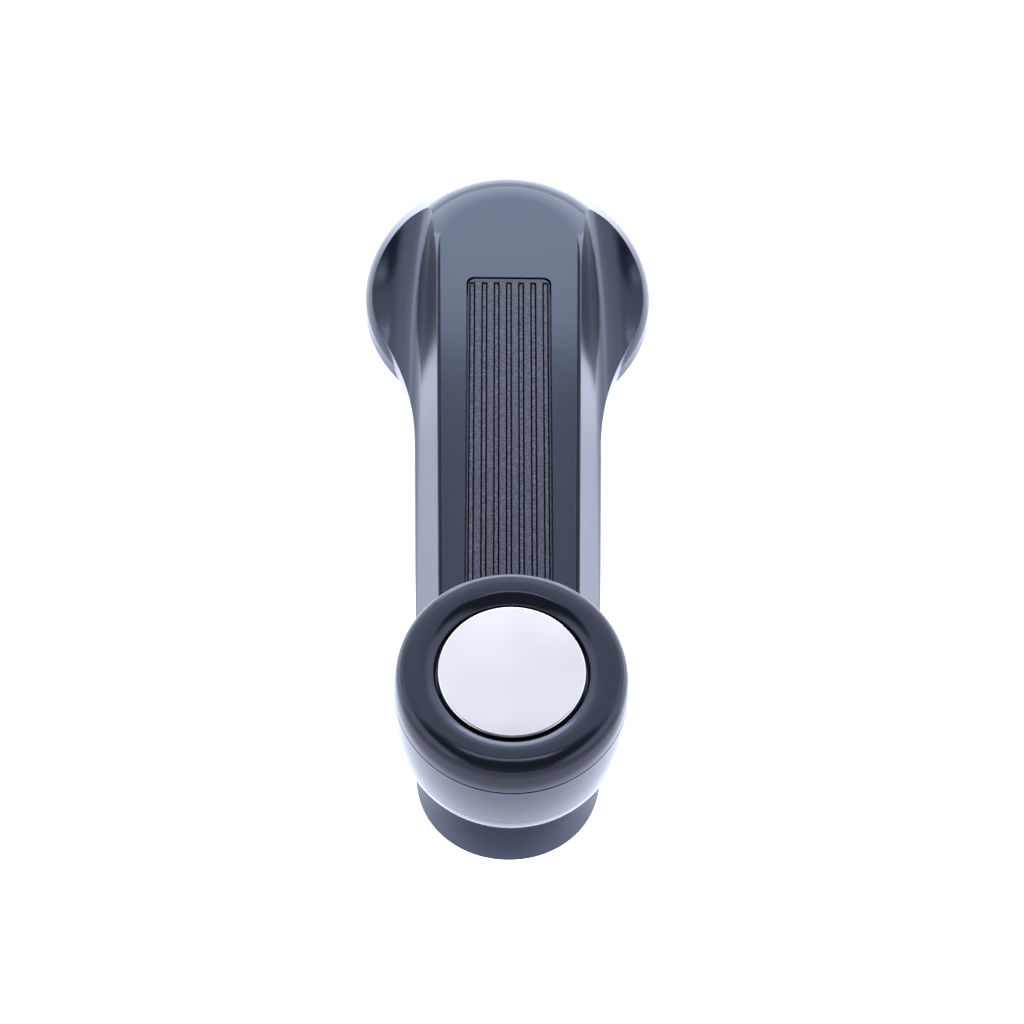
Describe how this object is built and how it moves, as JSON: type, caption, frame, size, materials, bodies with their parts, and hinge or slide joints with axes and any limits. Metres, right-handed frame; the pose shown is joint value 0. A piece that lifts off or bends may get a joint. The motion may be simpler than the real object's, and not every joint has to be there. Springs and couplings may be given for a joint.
{
  "type": "window crank handle",
  "caption": "Car window crank handle: round hub, bevelled arm with a ribbed trim strip, and a spinning knob with a bright cap.",
  "frame": {"origin": "on the regulator spindle's axis, on the face that rubs on the door trim", "axes": "+Z along the spindle towards the user; the arm runs from the hub towards -Y; +X to the right"},
  "size_m": [0.045, 0.1276, 0.0421],
  "materials": {
    "shell_black": "black moulded plastic, semi-gloss",
    "strip_grain": "fine spark-eroded grain",
    "knob_black": "black moulded plastic, satin gloss",
    "cap_chrome": "polished plating",
    "steel": "zinc-plated steel",
    "spring_steel": "phosphated spring steel",
    "die_cast": "die-cast metal",
    "bearing": "sintered bronze",
    "nylon_black": "low-friction nylon",
    "nylon_natural": "natural nylon",
    "tape": "foam adhesive disc"
  },
  "bodies": {
    "arm": {"arm_shell": "shell_black", "trim_strip": "strip_grain", "core_strap": "steel", "core_screws": "steel", "hub_bush": "die_cast", "wear_ring": "nylon_black", "knob_spindle": "steel", "thrust_washer": "nylon_natural", "wave_washer": "spring_steel", "spindle_washer": "steel", "push_on_clip": "spring_steel"},
    "clip": {"spindle_clip": "spring_steel"},
    "knob": {"knob_lower": "knob_black", "knob_upper": "knob_black", "knob_bush": "bearing", "cap_adhesive": "tape", "knob_cap": "cap_chrome"}
  },
  "joints": [
    {"name": "knob_spin", "type": "hinge", "parent": "arm", "child": "knob", "pos_m": [0, -0.089, 0.03], "axis": [0, 0, 1], "continuous": true},
    {"name": "clip_slide", "type": "slide", "parent": "arm", "child": "clip", "axis": [0, 1, 0], "range_m": [0, 0.006]}
  ]
}
